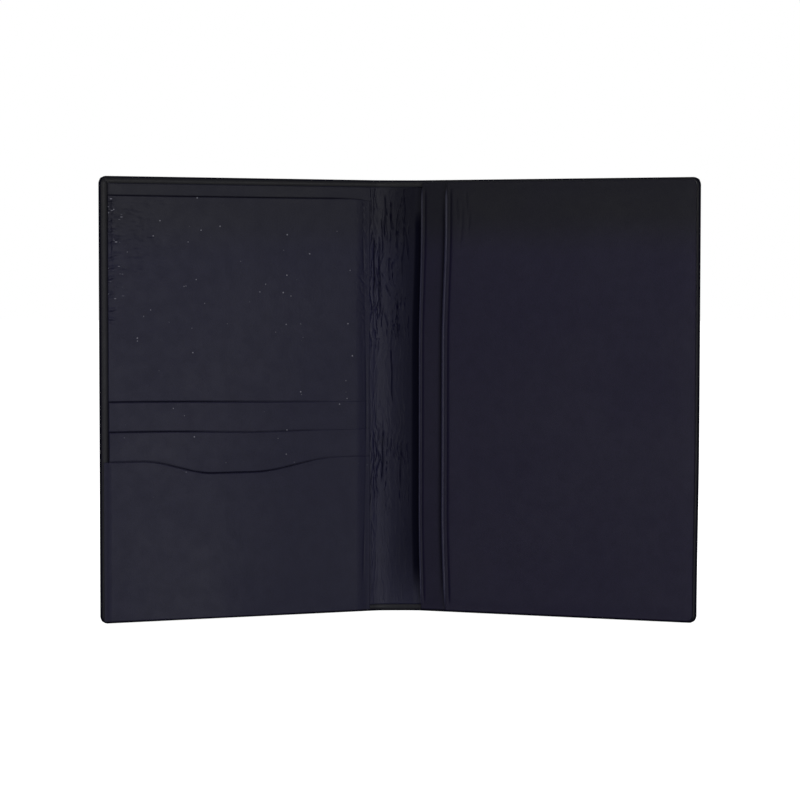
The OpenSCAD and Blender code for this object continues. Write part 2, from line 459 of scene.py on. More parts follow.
def card():
    """Grey card with short fibres."""
    material = bpy.data.materials.new("grey_card")
    material.use_nodes = True
    tree = Tree(material.node_tree)
    where = tree.node("ShaderNodeTexCoord", output="Object")
    fibres = tree.node("ShaderNodeTexNoise", sockets={
        "Vector": tree.scaled(where, (900, 900, 3200)), "Scale": 1, "Detail": 3})
    clumps = tree.node("ShaderNodeTexNoise", sockets={"Vector": where, "Scale": 240})
    colour = tree.mix(tree.ramp(fibres, 0.35, 0.65), (0.24, 0.22, 0.18, 1), (0.36, 0.33, 0.27, 1))
    rough = tree.ramp(clumps, 0.3, 0.7, 0.8, 0.95)
    bump = tree.node("ShaderNodeBump", sockets={"Height": fibres, "Distance": 0.00003})
    shader = tree.node("ShaderNodeBsdfPrincipled", sockets={
        "Base Color": colour, "Roughness": rough, "Normal": bump})
    tree.node("ShaderNodeOutputMaterial", sockets={"Surface": shader})
    return material


def cotton():
    """Thin black cotton in a plain weave, drawn along the piece's own UV map."""
    material = bpy.data.materials.new("black_cotton")
    material.use_nodes = True
    tree = Tree(material.node_tree)
    flat = tree.node("ShaderNodeUVMap", {"uv_map": "weave"})
    warp = tree.node("ShaderNodeTexWave", {"bands_direction": "X"},
                     {"Vector": flat, "Scale": ONE_RIB, "Distortion": 0.6})
    weft = tree.node("ShaderNodeTexWave", {"bands_direction": "Y"},
                     {"Vector": flat, "Scale": ONE_RIB, "Distortion": 0.6})
    weave = warp.larger(weft)
    slub = tree.node("ShaderNodeTexNoise", sockets={"Vector": flat, "Scale": 0.2})
    colour = tree.mix(weave * tree.ramp(slub, 0.3, 0.7, 0.6, 1.0),
                      (0.004, 0.004, 0.006, 1), (0.017, 0.017, 0.022, 1))
    bump = tree.node("ShaderNodeBump", sockets={"Height": weave, "Distance": 0.00005})
    rough = tree.ramp(slub, 0.3, 0.7, 0.82, 0.95)
    shader = tree.node("ShaderNodeBsdfPrincipled", sockets={
        "Base Color": colour, "Roughness": rough, "Normal": bump, "Sheen Weight": 0.15})
    tree.node("ShaderNodeOutputMaterial", sockets={"Surface": shader})
    return material


grey_card, black_cotton = card(), cotton()
for board in ("left_cover_board", "right_cover_board"):
    frame["nodes"][board].data.materials.clear()
    frame["nodes"][board].data.materials.append(grey_card)
print("card and cotton made")

# %% [markdown]
# ## Creases
# The lining has to give at the spine each time the holder closes, so it is full of creases: long,
# mostly upright, and branching where they meet. They could be drawn one by one, but a rule makes
# them all: three sets of waves run across the leather, one upright and two that lean, bent by a
# noise and broken up along their length by another. A Geometry Nodes tree presses the leather in
# at the crests, as deep as the mark "crease" says, and paints shade into the creases there, on the
# mark "edge". The same tree crinkles the slip pocket's corner.

# %% Build the creasing tree
UPRIGHT_FOLDS, LEANING_FOLDS, CROSSING_FOLDS = (1.0, 0.0, 0.44), (0.7, 0.9, 0.50), (0.83, -1.1, 0.52)


def creasing_tree():
    """Presses creases into a flat piece, where its mark "crease" isn't 0, and paints shade into them."""
    group = bpy.data.node_groups.new("press_creases", "GeometryNodeTree")
    tree = Tree(group)
    group.interface.new_socket("Geometry", in_out="OUTPUT", socket_type="NodeSocketGeometry")
    group.interface.new_socket("Geometry", in_out="INPUT", socket_type="NodeSocketGeometry")
    for name, start in (("Depth", 0.16), ("Spacing", 1.7), ("Stretch", 5.0), ("Wander", 0.8),
                        ("Seed", 3.0), ("Side", 1.0), ("Crease Shade", 0.5)):
        socket = group.interface.new_socket(name, in_out="INPUT", socket_type="NodeSocketFloat")
        socket.default_value = start
    group.interface.new_socket("Leather", in_out="INPUT", socket_type="NodeSocketMaterial")
    given = group.nodes.new("NodeGroupInput")

    def wire(name):
        return Wire(tree, given.outputs[name])

    where = tree.node("ShaderNodeSeparateXYZ", sockets={0: tree.node("GeometryNodeInputPosition")})
    across, up = where * wire("Side"), Wire(tree, where.socket.node.outputs["Y"])
    spot = tree.node("ShaderNodeCombineXYZ", sockets={"X": across, "Y": up * 0.4, "Z": wire("Seed")})
    slow = tree.node("ShaderNodeTexNoise", sockets={"Vector": spot, "Scale": 0.22, "Detail": 1})
    quick = tree.node("ShaderNodeTexNoise", sockets={"Vector": spot, "Scale": 1.3, "Detail": 2})
    bent = across + ((slow - 0.5) * 5.0 + (quick - 0.5) * 0.9) * wire("Wander")
    over = bent / wire("Spacing")
    along = up / (wire("Spacing") * wire("Stretch"))
    cells = tree.node("ShaderNodeCombineXYZ", sockets={"X": over, "Y": along, "Z": wire("Seed")})

    def folds(rate, lean, broken):
        """Folds at a rate across. The higher broken is, the less of their length is left."""
        wave = ((over + along * lean) * (2 * math.pi * rate)).sine()
        piece = tree.node("ShaderNodeTexNoise", sockets={
            "Vector": tree.shifted(cells, (lean * 9.0, rate * 7.0, 0.0)), "Scale": 0.8, "Detail": 1})
        return tree.ramp(wave, 0.80, 1.0) * tree.ramp(piece, broken, broken + 0.12)

    upright, leaning, crossing = folds(*UPRIGHT_FOLDS), folds(*LEANING_FOLDS), folds(*CROSSING_FOLDS)
    pressed = upright.larger(leaning.larger(crossing))
    pucker = tree.node("ShaderNodeTexNoise", sockets={"Vector": cells, "Scale": 1.6, "Detail": 4})
    mark = tree.node("GeometryNodeInputNamedAttribute", {"data_type": "FLOAT"}, {"Name": "crease"})
    fall = mark * wire("Depth") * ((pucker - 0.5) * 1.5 - pressed)
    step = tree.node("ShaderNodeCombineXYZ", sockets={"Z": fall})
    creased = tree.node("GeometryNodeSetPosition", sockets={"Geometry": wire("Geometry"),
                                                            "Offset": step})
    edge = tree.node("GeometryNodeInputNamedAttribute", {"data_type": "FLOAT"}, {"Name": "edge"})
    # Painted shade in the creases, added to the mark "edge".
    darker = edge.larger(pressed * mark * wire("Crease Shade"))
    creased = tree.node("GeometryNodeStoreNamedAttribute", {"data_type": "FLOAT", "domain": "POINT"},
                        {"Geometry": creased, "Name": "edge", "Value": darker})
    real = tree.node("GeometryNodeRealizeInstances", sockets={"Geometry": creased})
    done = tree.node("GeometryNodeSetMaterial", sockets={"Geometry": real,
                                                         "Material": wire("Leather")})
    tree.node("NodeGroupOutput", sockets={"Geometry": done})
    return group


def with_nodes(piece, group, values):
    """Runs a Geometry Nodes tree on a piece, with its inputs given by name."""
    modifier = piece.modifiers.new(group.name, "NODES")
    modifier.node_group = group
    for item in group.interface.items_tree:
        if item.in_out == "INPUT" and item.name in values:
            modifier[item.identifier] = values[item.name]
    return evaluated(piece)


creasing = creasing_tree()
print("creasing tree:", len(creasing.nodes), "nodes")

# %% [markdown]
# ## Rolled edges
# The sleeves' open edges aren't cut raw. The leather is turned over a thread and rolled, which
# leaves a narrow bead with a pressed line beside it. The bead's leather is painted lighter, as a
# painted highlight along it. A second tree sweeps an oval along the edge's path and thins it out at
# both ends, where the bead goes under the hem.

# %% Build the rolled edge's tree
def rolling_tree():
    """Sweeps an oval bead along a path of points."""
    group = bpy.data.node_groups.new("roll_edge", "GeometryNodeTree")
    tree = Tree(group)
    group.interface.new_socket("Geometry", in_out="OUTPUT", socket_type="NodeSocketGeometry")
    group.interface.new_socket("Geometry", in_out="INPUT", socket_type="NodeSocketGeometry")
    for name, start in (("Half Width", 0.4), ("Half Depth", 0.35)):
        socket = group.interface.new_socket(name, in_out="INPUT", socket_type="NodeSocketFloat")
        socket.default_value = start
    group.interface.new_socket("Sides", in_out="INPUT", socket_type="NodeSocketInt").default_value = 16
    group.interface.new_socket("Leather", in_out="INPUT", socket_type="NodeSocketMaterial")
    given = group.nodes.new("NodeGroupInput")

    def wire(name):
        return Wire(tree, given.outputs[name])

    path = tree.node("GeometryNodeMeshToCurve", sockets={"Mesh": wire("Geometry")})
    path = tree.node("GeometryNodeSetCurveNormal", {"mode": "Z_UP"}, {"Curve": path})
    oval = tree.node("GeometryNodeCurvePrimitiveCircle", {"mode": "RADIUS"},
                     {"Resolution": wire("Sides"), "Radius": 1.0})
    size = tree.node("ShaderNodeCombineXYZ", sockets={"X": wire("Half Width"),
                                                      "Y": wire("Half Depth"), "Z": 1.0})
    oval = tree.node("GeometryNodeTransform", sockets={"Geometry": oval, "Scale": size})
    thick = tree.node("GeometryNodeInputNamedAttribute", {"data_type": "FLOAT"}, {"Name": "thick"})
    bead = tree.node("GeometryNodeCurveToMesh", sockets={
        "Curve": path, "Profile Curve": oval, "Scale": thick, "Fill Caps": True})
    bead = tree.node("GeometryNodeSetShadeSmooth", sockets={"Geometry": bead})
    real = tree.node("GeometryNodeRealizeInstances", sockets={"Geometry": bead})
    done = tree.node("GeometryNodeSetMaterial", sockets={"Geometry": real,
                                                         "Material": wire("Leather")})
    tree.node("NodeGroupOutput", sockets={"Geometry": done})
    return group


def rolled_edge(path, thick, width, depth, material):
    """A bead along the flat path, thick times the given half sizes at each of its points."""
    steps = [(i, i + 1) for i in range(len(path) - 1)]
    mesh = bpy.data.meshes.new("bead")
    mesh.from_pydata(path.tolist(), steps, [])
    attribute = mesh.attributes.new("thick", "FLOAT", "POINT")
    attribute.data.foreach_set("value", thick.astype(np.float32))
    bead = bpy.data.objects.new("bead", mesh)
    bpy.context.scene.collection.objects.link(bead)
    values = {"Half Width": width, "Half Depth": depth, "Leather": material}
    return with_nodes(bead, rolling, values)


def join(piece, *others):
    """Makes other flat pieces part of a piece."""
    with bpy.context.temp_override(active_object=piece, selected_editable_objects=[piece, *others]):
        bpy.ops.object.join()


rolling = rolling_tree()
print("rolling tree:", len(rolling.nodes), "nodes")

# %% [markdown]
# ## The outer leather
# One skin of leather makes the back of the holder: it runs over the left board, the spine and the
# right board, goes round every edge and is glued down inside as a hem. It is made in two halves
# that share their points at the middle of the spine, because each half bends over one fold. The
# skin is a grid that covers the outer face and comes back over the edge, and Solidify then gives
# it its thickness inwards. A groove is pressed along each fold, where the leather sinks between
# the spine and the board.

# %% Make the outer leather
SKIN_T = 0.5
BACK_WAVES = 0.10
FOLD_GROOVE, GROOVE_HALF = 0.22, 0.9
HEM_ROLL, RIM_ROLL = 0.10, 0.12
CUT_DEPTH, MITRE_DEPTH = 0.10, 0.07
RIM_SHADE = 0.9
RAMP_START, RAMP_END = SPINE_HALF - 5.5, BOARD_S + 0.3


def inner_front(s):
    """Depth of the inside surface, which rises from the bare spine to the cover with its board."""
    return SPINE_FRONT + (COVER_FRONT - SPINE_FRONT) * smooth(s, RAMP_START, RAMP_END)


def soft_waves(s, z, seed):
    """Low, slow waves of leather glued by hand, between -1 and 1."""
    waves = np.sin(s / 17.0 + 1.7 * seed + np.sin(z / 31.0)) + np.sin(z / 23.0 + 0.9 * seed)
    return (waves + np.sin((s + z) / 13.0 + 2.3 * seed) * 0.5) / 2.5


def outer_skin(name, side):
    """Half of the outer leather with its hem."""
    s_lines = lines(0, EDGE_S, 2.2, fine=(False, True),
                    extra=[EDGE_S - HEM_S, EDGE_S - HEM_S + 0.15, *np.arange(4.5, 11.5, 0.35)])
    z_lines = lines(0, TOP_Z, 2.2, extra=[HEM_Z, HEM_Z - 0.15, TOP_Z - HEM_Z, TOP_Z - HEM_Z + 0.15])
    grid_s, grid_z = np.meshgrid(s_lines, z_lines, indexing="ij")
    low = grid_z < TOP_Z / 2
    a, b, inset = round_corner(EDGE_S - grid_s, np.where(low, grid_z, TOP_Z - grid_z), CORNER_R)
    s, z = EDGE_S - a, np.where(low, b, TOP_Z - b)
    front = inner_front(s)
    radius = (front - LEATHER_BACK) / 2
    fall = round_off(inset, radius)
    flat_part = smooth(inset, 1.0, 9.0)
    relief = BACK_WAVES * flat_part * soft_waves(s, z, side) * smooth(s, 0, 9)
    grooved = groove(s - SPINE_HALF - 0.4, GROOVE_HALF) * smooth(inset, 0.3, 3.0)
    relief = relief + FOLD_GROOVE * grooved
    outer = (s, z, LEATHER_BACK + fall + relief)
    side_in = np.where(grid_s > EDGE_S - HEM_S - 1, HEM_S - (EDGE_S - grid_s), -9.0)
    end_in = HEM_Z - np.minimum(grid_z, TOP_Z - grid_z)
    from_cut = np.maximum(side_in, end_in)
    corner = (side_in > 0) & (end_in > 0)
    mitre = np.where(corner, groove(side_in / HEM_S - end_in / HEM_Z, 0.07), 0)
    cut = groove(from_cut, 0.22)
    roll = HEM_ROLL * smooth(-from_cut, -1.1, 0) + RIM_ROLL * smooth(-inset, -1.5, -0.6)
    hem = (s, z, front - fall - roll - CUT_DEPTH * cut - MITRE_DEPTH * mitre)
    in_hem = from_cut > -1e-6
    index = np.arange(s.size).reshape(s.shape)
    own = in_hem.copy()
    own[-1, :] = own[:, 0] = own[:, -1] = False
    hem_index = index.copy()
    hem_index[own] = s.size + np.arange(own.sum())
    cells = in_hem[:-1, :-1] & in_hem[1:, :-1] & in_hem[1:, 1:] & in_hem[:-1, 1:]
    faces = grid_faces(index, turned=True).tolist() + grid_faces(hem_index)[cells.ravel()].tolist()
    flat = np.column_stack([axis.ravel() for axis in outer])
    flat = np.vstack([flat, np.column_stack([axis[own] for axis in hem])])
    # Painted shade along the rounded rim, where the leather turns away from the light.
    rim = RIM_SHADE * (1 - smooth(inset, 0.35, 0.8))
    line = 0.06 * (side_in < end_in)
    on_hem = np.maximum(np.maximum(line * cut, 0.4 * mitre), rim)
    ink_and_shade = np.concatenate([rim.ravel(), on_hem[own]])
    piece = new_object(name, flat, faces, {"edge": ink_and_shade})
    piece.data.materials.append(outer_leather)
    solid = piece.modifiers.new("thickness", "SOLIDIFY")
    solid.thickness, solid.offset = SKIN_T, -1
    return set_in_frame(evaluated(piece), side)


# %% [markdown]
# The outer leather is made at the size it is cut to: its hems, and the way round the rounded edge,
# are more than the cover's own size. A piece that crosses a fold only has its place baked into its
# points here. The ends of a flex at the fold are worked out, ending before the board begins so that
# the lining would not sink into it, but nothing uses them.

# %% Bake a piece's place into its points
SIDES = {-1: "left", 1: "right"}
FLEX = (-2.9, 1.3)


def bend_at_fold(piece, side):
    """Bakes a piece's place into its points. The ends of a flex at the fold are worked out, but nothing
    uses them.
    """
    half = TILT / 2
    ends = [(side * (SPINE_HALF + t * math.cos(half)) / MM, (FOLD_Y - t * math.sin(half)) / MM, 0)
            for t in FLEX]
    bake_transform(piece)


for side, hides in ((-1, ("left_cover_leather", "spine_leather")), (1, ("right_cover_leather",))):
    skin = outer_skin("outer_leather_" + SIDES[side], side)
    bend_at_fold(skin, side)
    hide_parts(*hides)

# %% [markdown]
# ## The left cover's pockets
# Four layers lie on the left cover: the slip pocket, two facings and the front pocket. Each is
# glued at its ends, so the stack is thin there, and stands off in the middle, where the cards go.
# Towards the fold the layers are pressed together and their mouths almost vanish. Each mouth is
# cut. The slip pocket's mouth is inked dark and darkened further as painted shadow, and above each
# mouth a fine shadow is painted on the layer behind, which is pressed in a little there.

# %% Describe the layers
SLIP, BACK, MIDDLE, FRONT = range(4)
PANEL_T = 0.5
PRESS_S = 40.0
RISE_CUT = 0.28
FOLD_LIFT, FOLD_STEP, FOLD_RISE = 0.14, 0.12, 0.34
EDGE_LIFT, EDGE_STEP = 0.22, 0.42


def layer_of(node):
    """The flat box of a pocket node: (inner s, outer s, bottom z, top z, front depth)."""
    low, high = cover_span(node)
    return low[0], high[0], low[1], high[1], high[2]


STACK = [layer_of(node) for node in
         ("slip_pocket_panel", "back_card_facing", "middle_card_facing", "front_card_pocket")]
SLIP_INNER, SLIP_OUTER, _, SLIP_TOP, _ = STACK[SLIP]


def stack_front(order, s):
    """Front depth of a layer: full in the middle, pressed at the fold, glued flat at the edge."""
    full = STACK[order][4] - RISE_CUT * order
    at_fold = COVER_FRONT + FOLD_LIFT + FOLD_STEP * order
    at_fold = at_fold + FOLD_RISE * smooth(s, SLIP_INNER, SLIP_INNER + 5)
    at_edge = COVER_FRONT + EDGE_LIFT + EDGE_STEP * order
    from_fold = smooth(s, SLIP_INNER - 1, SLIP_INNER + 1.35 * PRESS_S)
    from_edge = smooth(-s, -SLIP_OUTER - 1, -SLIP_OUTER + PRESS_S)
    depth = at_fold + (at_edge - at_fold) * smooth(s, SLIP_INNER + 2, SLIP_OUTER - 2)
    return depth + (full - np.maximum(at_edge, at_fold)) * np.minimum(from_fold, from_edge)


print("layers end at", [float(round(stack_front(order, SLIP_OUTER), 2)) for order in range(4)], "mm")

# %% [markdown]
# A slot's mouth is cut straight, but years of cards have let it sag, and the front pocket's mouth
# has a wide notch for the thumb. Distances along a mouth are taken from the fold.

# %% Describe the mouths
MOUTH_LINE = 0.22
NOTCH_DEPTH, NOTCH_IN, NOTCH_OUT = 4.25, (13.5, 43), (57, 80)
SLIP_SAG, SLIP_DROP = 0.10, 0.6
BACK_SAG, MIDDLE_SAG, MIDDLE_DIP = 0.75, 0.35, 0.45
BACK_LIFT = 0.15


def mouth_dip(order, s):
    """How far a mouth sags below its straight line: worn leather, and the front pocket's notch."""
    u = s - SPINE_HALF
    if order == FRONT:
        return NOTCH_DEPTH * smooth(u, *NOTCH_IN) * smooth(-u, -NOTCH_OUT[1], -NOTCH_OUT[0])
    if order == SLIP:
        return SLIP_SAG * np.sin(math.pi * np.clip(u / 90, 0, 1)) + SLIP_DROP * groove(u - 2.5, 3.0)
    if order == BACK:
        return BACK_SAG * smooth(-u, -88, -14)
    return MIDDLE_SAG * smooth(-u, -88, -14) + MIDDLE_DIP * groove(u - 42, 18)


def mouth_shade(order, s):
    """How dark the shadow line above a mouth is: it fades where the layers are pressed together."""
    u = s - SPINE_HALF
    fade = smooth(u, 10, 30)
    if order == FRONT:
        return (0.55 + 0.45 * smooth(-u, -80, -66)) * np.maximum(fade, 0.25)
    return (0.5 + 0.5 * smooth(u, 35 if order == BACK else 52, 70)) * fade


def mouth_z(order, s):
    """Height of a layer's mouth."""
    return STACK[order][3] + BACK_LIFT * (order == BACK) - mouth_dip(order, s)


print("mouths at", [float(round(layer[3], 1)) for layer in STACK], "mm")

# %% [markdown]
# The open edges of the two sleeves lie beside the right fold. Use has drawn them in towards the
# spine, apart from their two ends. They come before the lining, because it sinks into a gutter
# beside the first one.

# %% Describe the sleeves' open edges
OVERHANG = {"document": 0.62, "passport": 0.15}
DRAWN = {"document": 1.0, "passport": 1.05}
FIRST_U = {which: round(float(cover_span(which + "_sleeve")[0][0] - SPINE_HALF - OVERHANG[which]), 3)
           for which in OVERHANG}


def pulled(z):
    """Nearly 0 at both ends of a sleeve's open edge and 1 between, where it has been drawn in."""
    return smooth(-z, -128, -86) * smooth(z, -8, 34)


def bead_u(which, z):
    """How far past the fold a sleeve's rolled edge lies."""
    return FIRST_U[which] - DRAWN[which] * pulled(z)


print("sleeves begin", FIRST_U, "mm past the fold")

# %% [markdown]
# ## The lining
# A thin leather covers the inside of the boards and the spine, up to the hems. Where it shows, on
# the spine and beside the folds, its grid is fine enough to take the creases as real shape. It
# sinks a little before the right fold, into a gutter beside the sleeves. Its colour carries painted
# shade: darker towards the right fold and darkest in the gutter, with a painted shadow line above
# the slip pocket's mouth and painted shade in the deepest creases. The few deepest creases are
# placed one by one, and the creasing tree adds the rest.

# %% Make the lining
LINING_T = 0.5
GUTTER = {-1: 0.04, 1: 0.30}
DEEP, DEEP_CREASE_SHADE = 0.22, 0.85
GUTTER_SHADE, SLIP_MOUTH_SHADOW, HEM_INK = 0.98, 0.95, 0.3
SPINE_SHADE = 0.62
SPINE_CREASES = [
    ((1.75, 139.5), (1.9, 126.0), 0.26), ((1.9, 127.0), (0.8, 108.0), 0.26),
    ((1.9, 127.0), (3.6, 114.0), 0.24), ((-4.3, 137.5), (-4.6, 121.0), 0.24),
    ((-2.7, 135.0), (-2.2, 124.0), 0.22), ((-0.3, 133.0), (-0.9, 118.0), 0.22),
    ((-6.4, 118.0), (-6.0, 96.0), 0.24), ((-8.6, 124.0), (-8.3, 104.0), 0.22),
    ((-0.6, 104.0), (-0.2, 88.0), 0.24), ((-5.0, 60.0), (-5.4, 41.0), 0.22),
    ((0.9, 57.0), (0.5, 38.0), 0.24), ((-2.4, 88.0), (-2.0, 66.0), 0.20)]


def deep_creases(across, z, creases):
    """Single deep creases, each given by (place across, height) at its top and its bottom, and by
    its width."""
    deep = np.zeros(z.shape)
    for (top_s, top_z), (end_s, end_z), width in creases:
        t = (top_z - z) / (top_z - end_z)
        centre = top_s + (end_s - top_s) * t + 0.12 * np.sin(z / 1.7 + 3 * top_s)
        ends = smooth(t, -0.03, 0.10) * smooth(-t, -1.03, -0.75)
        deep = np.maximum(deep, groove(across - centre, width) * ends)
    return deep


def lining_half(name, side):
    """Half of the lining, from the spine's middle to the hem."""
    s_lines = lines(0, EDGE_S - HEM_S, 2.6, fine=(False, True), extra=np.arange(0.2, 12.0, 0.2))
    near_mouth = SLIP_TOP + np.arange(-1.6, 1.2, 0.14)
    z_lines = lines(HEM_Z, TOP_Z - HEM_Z, 0.42, extra=near_mouth)
    s, z = np.meshgrid(s_lines, z_lines, indexing="ij")
    inset = np.minimum(EDGE_S - HEM_S - s, np.minimum(z - HEM_Z, TOP_Z - HEM_Z - z))
    bead = SPINE_HALF + bead_u("document", z)
    sunk = smooth(s - bead, -3.6, -1.5) * smooth(bead - s, -2.4, -0.8)
    front = inner_front(s) - GUTTER[side] * sunk
    fall = round_off(inset, LINING_T / 2)
    thick = LINING_T - 2 * fall
    shown = smooth(-s, -SPINE_HALF - 4.5, -SPINE_HALF - 1.0) * smooth(inset, 0, 1.2)
    busy = 0.25 + 0.75 * np.maximum(smooth(z, 78, 96), groove(z - 47, 15))
    calm = 1 if side < 0 else 1 - smooth(s, 2.6, 4.6)
    crease = shown * busy * calm
    deep = deep_creases(side * s, z, SPINE_CREASES)
    front = front - DEEP * deep * shown
    # Painted shade across the spine, darker towards the right fold, then the painted gutter shade or the
    # painted shadow line above the slip pocket's mouth.
    shade = SPINE_SHADE * smooth(side * s, -10.0, 4.5) * smooth(z, -6, 22)
    if side > 0:
        in_gutter = smooth(s - bead, -4.5, -2.4) * smooth(z, 0, 16) * smooth(-z, -139.5, -127)
        shade = np.maximum(shade, GUTTER_SHADE * in_gutter)
    else:
        mouth = groove(z - mouth_z(SLIP, s) - 0.15, 0.24)
        mouth = mouth * smooth(s, SLIP_INNER + 2, SLIP_INNER + 14)
        shade = np.maximum(shade, SLIP_MOUTH_SHADOW * mouth)
    ink_and_shade = np.maximum(np.maximum(HEM_INK * groove(inset, 0.25), shade), DEEP_CREASE_SHADE * deep)
    piece = closed_sheet(name, (s, z, front - fall), (s, z, front - fall - thick),
                         {"edge": ink_and_shade, "crease": crease}, wall=True)
    values = {"Leather": lining_leather, "Depth": 0.2, "Spacing": 1.45, "Side": float(side)}
    return set_in_frame(with_nodes(piece, creasing, values), side)


for side, hides in ((-1, ("left_lining", "spine_lining")), (1, ("right_lining",))):
    lining = lining_half("lining_" + SIDES[side], side)
    bend_at_fold(lining, side)
    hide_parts(*hides)

# %% [markdown]
# A panel's grid is drawn straight, and its top rows are then lowered to the mouth's true line.
# Where the next mouth in front of it lies, a panel gets a pressed line with a painted shadow. Beside
# the fold it has a faint scored one, darkened as painted shade, where the strip that is glued down
# ends.

# %% Make a pocket panel
PANEL_WAVES = 0.09
SCORE_U, SCORE_DEPTH, SCORE_SHADE = 4.6, 0.14, 0.45
LINE_DEPTH = 0.12
EDGE_ROUND = 0.25


def pocket_panel(order, name, thick, grid_step, crease=None, outer=None, fine_z=()):
    """One layer of the left cover's stack, as a closed flat sheet. crease says where it is
    crinkled, outer changes its front near the outer edge, and fine_z adds grid rows."""
    s0, s1, z0, z1, _ = STACK[order]
    s_lines = lines(s0, s1, grid_step, extra=np.arange(s0, s0 + 6, 0.4))
    ahead = range(order + 1, min(order + 2, len(STACK)))
    marks = [STACK[mouth][3] + t for mouth in ahead for t in np.arange(-6, 1.3, 0.2)]
    marks += list(fine_z)
    z_lines = lines(z0, z1, grid_step, extra=[m for m in marks if z0 < m < z1])
    s, grid_z = np.meshgrid(s_lines, z_lines, indexing="ij")
    inset = np.minimum(np.minimum(s - s0, s1 - s), np.minimum(grid_z - z0, z1 - grid_z))
    reach = min(16.0, (z1 - z0) * 0.6)
    z = grid_z + (mouth_z(order, s) - z1) * smooth(grid_z, z1 - reach, z1)
    front = stack_front(order, s)
    if outer is not None:
        front = outer(s, z, front)
    fold_line = SCORE_U + 0.6 * np.cos(z / 22.0) + SPINE_HALF
    scored = 0.5 * groove(s - fold_line, 0.28) * smooth(z, 8, 16) * smooth(-z, -128, -118)
    scored = scored * (0.35 + 0.65 * smooth(np.sin(z / 9.0), -0.3, 0.5))
    shaded = np.zeros(s.shape)
    for mouth in ahead:
        line = groove(z - mouth_z(mouth, s) - 0.18, MOUTH_LINE)
        shaded = np.maximum(shaded, mouth_shade(mouth, s) * line)
    waves = PANEL_WAVES * soft_waves(s, z, order + 3) * smooth(inset, 1, 8)
    front = front + waves - SCORE_DEPTH * scored - LINE_DEPTH * shaded
    under = (stack_front(order - 1, s) if order else COVER_FRONT) + 0.02
    back = np.minimum(np.maximum(front - thick, under), front - 0.1)
    fall = round_off(inset, EDGE_ROUND) * (front - back) / (2 * EDGE_ROUND)
    back = back + fall
    cut = groove(mouth_z(SLIP, s) - z, 0.12) * (order == SLIP) * smooth(s, s0, s0 + 14)
    # Painted shadow lines under the mouths, painted shade in the scored line and along the outer edge,
    # and the slip mouth's inked cut edge, darkened further as painted shadow.
    ink_and_shade = np.maximum(np.maximum(shaded, SCORE_SHADE * scored), 0.05 * groove(s1 - s, 0.2))
    ink_and_shade = np.maximum(ink_and_shade, 0.9 * cut)
    u = s - SPINE_HALF
    # The mark "worn" places the painted highlights on the crinkles and lets a few more dust specks show.
    worn = smooth(u, 82, 89) * smooth(z, 94, 100) + 0.45 * groove(u - 20, 12) * groove(z - 112, 12)
    painted = {"edge": ink_and_shade, "worn": worn}
    if crease is not None:
        painted["crease"] = crease(s, z) * smooth(inset, 0.2, 2.0) * (1 - shaded)
    return closed_sheet(name, (s, z, front - fall), (s, z, back), painted)


print("pocket layers:", len(STACK))

# %% [markdown]
# The slip pocket's top outer corner is crinkled, and short puckers run in from its outer edge,
# where the glue has pulled the leather. They are placed one by one, each by its height at the edge,
# its length and how steeply it rises. The front pocket runs out over the hem and is glued down
# beside the cover's edge.

# %% Make the left cover's pockets
FRONT_T = 0.6
PULLS = (
    (134.2, 2.8, 0.10), (131.5, 3.6, -0.20), (127.8, 3.0, 0.30), (124.6, 3.4, 0.10),
    (121.0, 6.8, 0.45), (116.4, 5.6, 0.35), (113.0, 4.2, 0.20), (109.5, 3.2, 0.30),
    (105.0, 2.6, 0.00), (99.6, 3.8, 0.15), (97.0, 2.8, -0.10))
PULL_HEIGHT = 0.15
OVER_HEM = 0.45


def slip_creases(s, z):
    """How crinkled the slip pocket is: most in its top outer corner, and a little at the fold."""
    u = s - SPINE_HALF
    corner = smooth(u, 60, 90) * smooth(z, 96, 126)
    beside = smooth(-u, -11, -3) * (0.25 + 0.75 * smooth(z, 84, 110))
    return np.clip(0.9 * corner + 0.4 * beside, 0, 1)


def pulled_at_edge(s, z, front):
    """The slip pocket's front with the short puckers at its outer edge."""
    from_edge = SLIP_OUTER - s
    for at_z, length, rise in PULLS:
        along = z - at_z - rise * from_edge
        pucker = groove(along, 0.5) - groove(along + 0.8, 0.45)
        front = front + PULL_HEIGHT * pucker * smooth(-from_edge, -length, -0.3 * length)
    return front


def over_the_hem(s, z, front):
    """The front pocket's front, brought down to the hem at its outer edge."""
    run = smooth(s, SLIP_OUTER - 0.6, STACK[FRONT][1] - 0.1)
    return front + (COVER_FRONT + OVER_HEM - front) * run


def finish_on_cover(piece, side, node):
    set_in_frame(piece, side)
    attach(piece, SIDES[side] + "_cover")
    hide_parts(node)


pocket = pocket_panel(SLIP, "slip_pocket_leather", PANEL_T, 0.85, crease=slip_creases,
                      outer=pulled_at_edge, fine_z=np.arange(95, 137, 0.42))
with_nodes(pocket, creasing, {"Leather": pocket_leather, "Depth": 0.22, "Spacing": 1.9,
                              "Stretch": 1.4, "Seed": 8.0, "Side": -1.0, "Crease Shade": 0.12})
finish_on_cover(pocket, -1, "slip_pocket_panel")
for order, node in ((BACK, "back_card_facing"), (MIDDLE, "middle_card_facing")):
    facing = pocket_panel(order, node + "_leather", PANEL_T, 1.2)
    facing.data.materials.append(pocket_leather)
    finish_on_cover(facing, -1, node)
pocket = pocket_panel(FRONT, "front_card_pocket_leather", FRONT_T, 1.2, outer=over_the_hem)
pocket.data.materials.append(pocket_leather)
finish_on_cover(pocket, -1, "front_card_pocket")

# %% [markdown]
# ## The card pouches
# Behind the facings hang two pouches of thin cotton that hold the cards. They can't be seen with
# the pockets closed up, but they are there on the real thing. Each is a thin sheet that is glued
# down at its bottom and sides, and it carries its own UV map, in threads, for the weave.

